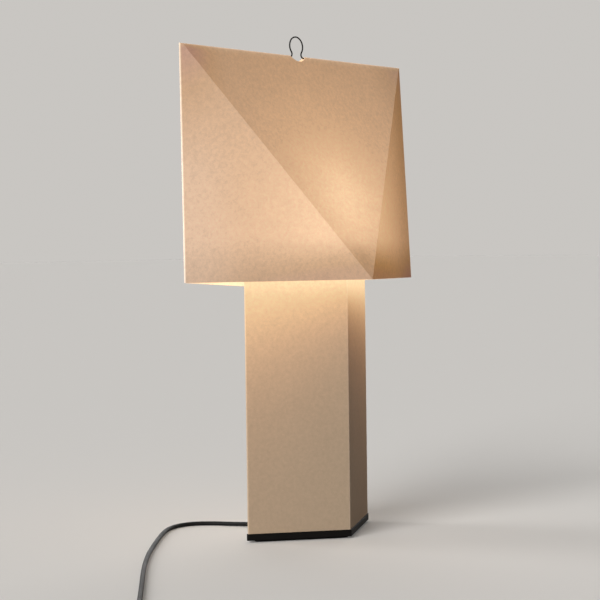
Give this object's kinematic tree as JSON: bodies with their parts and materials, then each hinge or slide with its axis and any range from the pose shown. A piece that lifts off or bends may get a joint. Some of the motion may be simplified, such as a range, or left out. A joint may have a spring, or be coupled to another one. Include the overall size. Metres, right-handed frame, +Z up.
{
  "type": "folded paper table lamp",
  "caption": "Table lamp: a folded paper shade with a straight ridge hangs on a black wire over a rhombic paper column on a steel plate.",
  "frame": {"origin": "centre of the rhombic foot pad's underside, on the surface that the lamp stands on, under the stem's axis", "axes": "+Z up along the stem, X along the column's long diagonal and the shade's ridge, -Y towards the nearer long side"},
  "size_m": [0.7851, 0.5244, 0.6915],
  "materials": {
    "shade_paper": "matt thick paper with a fine fibre texture, warm white",
    "column_paper": "matt thick card with a fine fibre texture, warm white",
    "joining_tape": "matt paper strip",
    "black_steel": "black powder coat",
    "black_wire": "satin black coated wire",
    "zinc_steel": "zinc plated",
    "white_sheet": "matt white paint",
    "rubber_black": "matt",
    "holder_plastic": "matt black thermoset",
    "ceramic": "white ceramic",
    "brass": "plain brass",
    "cap_metal": "nickel plated",
    "bulb_plastic": "satin white",
    "opal": "opal diffuser, lit warm white",
    "light_board": "white faced aluminium board",
    "cord_black": "matt black sheath",
    "switch_plastic": "satin black",
    "plug_plastic": "satin black",
    "pin_metal": "nickel plated brass"
  },
  "bodies": {
    "lamp": {"base_plate": "black_steel", "foot_pad": "rubber_black", "cord_grip": "rubber_black", "column_sheet": "column_paper", "column_bottom_frame": "zinc_steel", "column_frame_screws": "zinc_steel", "column_top_plate": "white_sheet", "stem_flange": "zinc_steel", "stem_flange_screws": "zinc_steel", "stem_tube": "zinc_steel", "hanger_bracket": "black_steel", "bracket_nut": "zinc_steel", "bracket_washer": "zinc_steel", "hanger_sockets": "black_steel", "hanger_set_screws": "zinc_steel", "wire_hanger": "black_wire", "lampholder_cap": "holder_plastic", "lampholder_body": "holder_plastic", "lampholder_insert": "ceramic", "lampholder_thread_shell": "brass", "lampholder_contacts": "brass", "lampholder_lower_ring": "holder_plastic", "lampholder_upper_ring": "holder_plastic", "lampholder_leads": "cord_black", "inner_cord": "cord_black", "cord_lead": "cord_black", "cord_to_coil": "cord_black", "cord_coil": "cord_black", "cord_to_plug": "cord_black", "switch_lower_shell": "switch_plastic", "switch_upper_shell": "switch_plastic", "switch_rocker_pin": "zinc_steel", "switch_terminals": "brass", "switch_screws": "zinc_steel", "plug_body": "plug_plastic", "plug_pins": "pin_metal", "plug_grip": "plug_plastic"},
    "shade": {"shade_front_sheet": "shade_paper", "shade_back_sheet": "shade_paper", "shade_ridge_tape": "joining_tape", "shade_left_tape": "joining_tape", "shade_right_tape": "joining_tape"},
    "bulb": {"bulb_contact": "brass", "bulb_screw_cap": "cap_metal", "bulb_collar": "bulb_plastic", "bulb_globe": "opal", "bulb_light_board": "light_board"},
    "switch_button": {"switch_rocker": "switch_plastic"}
  },
  "joints": [
    {"name": "shade_lift", "type": "slide", "parent": "lamp", "child": "shade", "axis": [0.0054, 0.0456, 0.9989], "range_m": [0, 0.345]},
    {"name": "bulb_unscrew", "type": "slide", "parent": "lamp", "child": "bulb", "axis": [0, 0, 1], "range_m": [0, 0.027]},
    {"name": "switch_press", "type": "hinge", "parent": "lamp", "child": "switch_button", "pos_m": [-0.51454, -0.25408, 0.0094], "axis": [-0.7604, 0.6494, 0], "range_deg": [0, 16]}
  ]
}
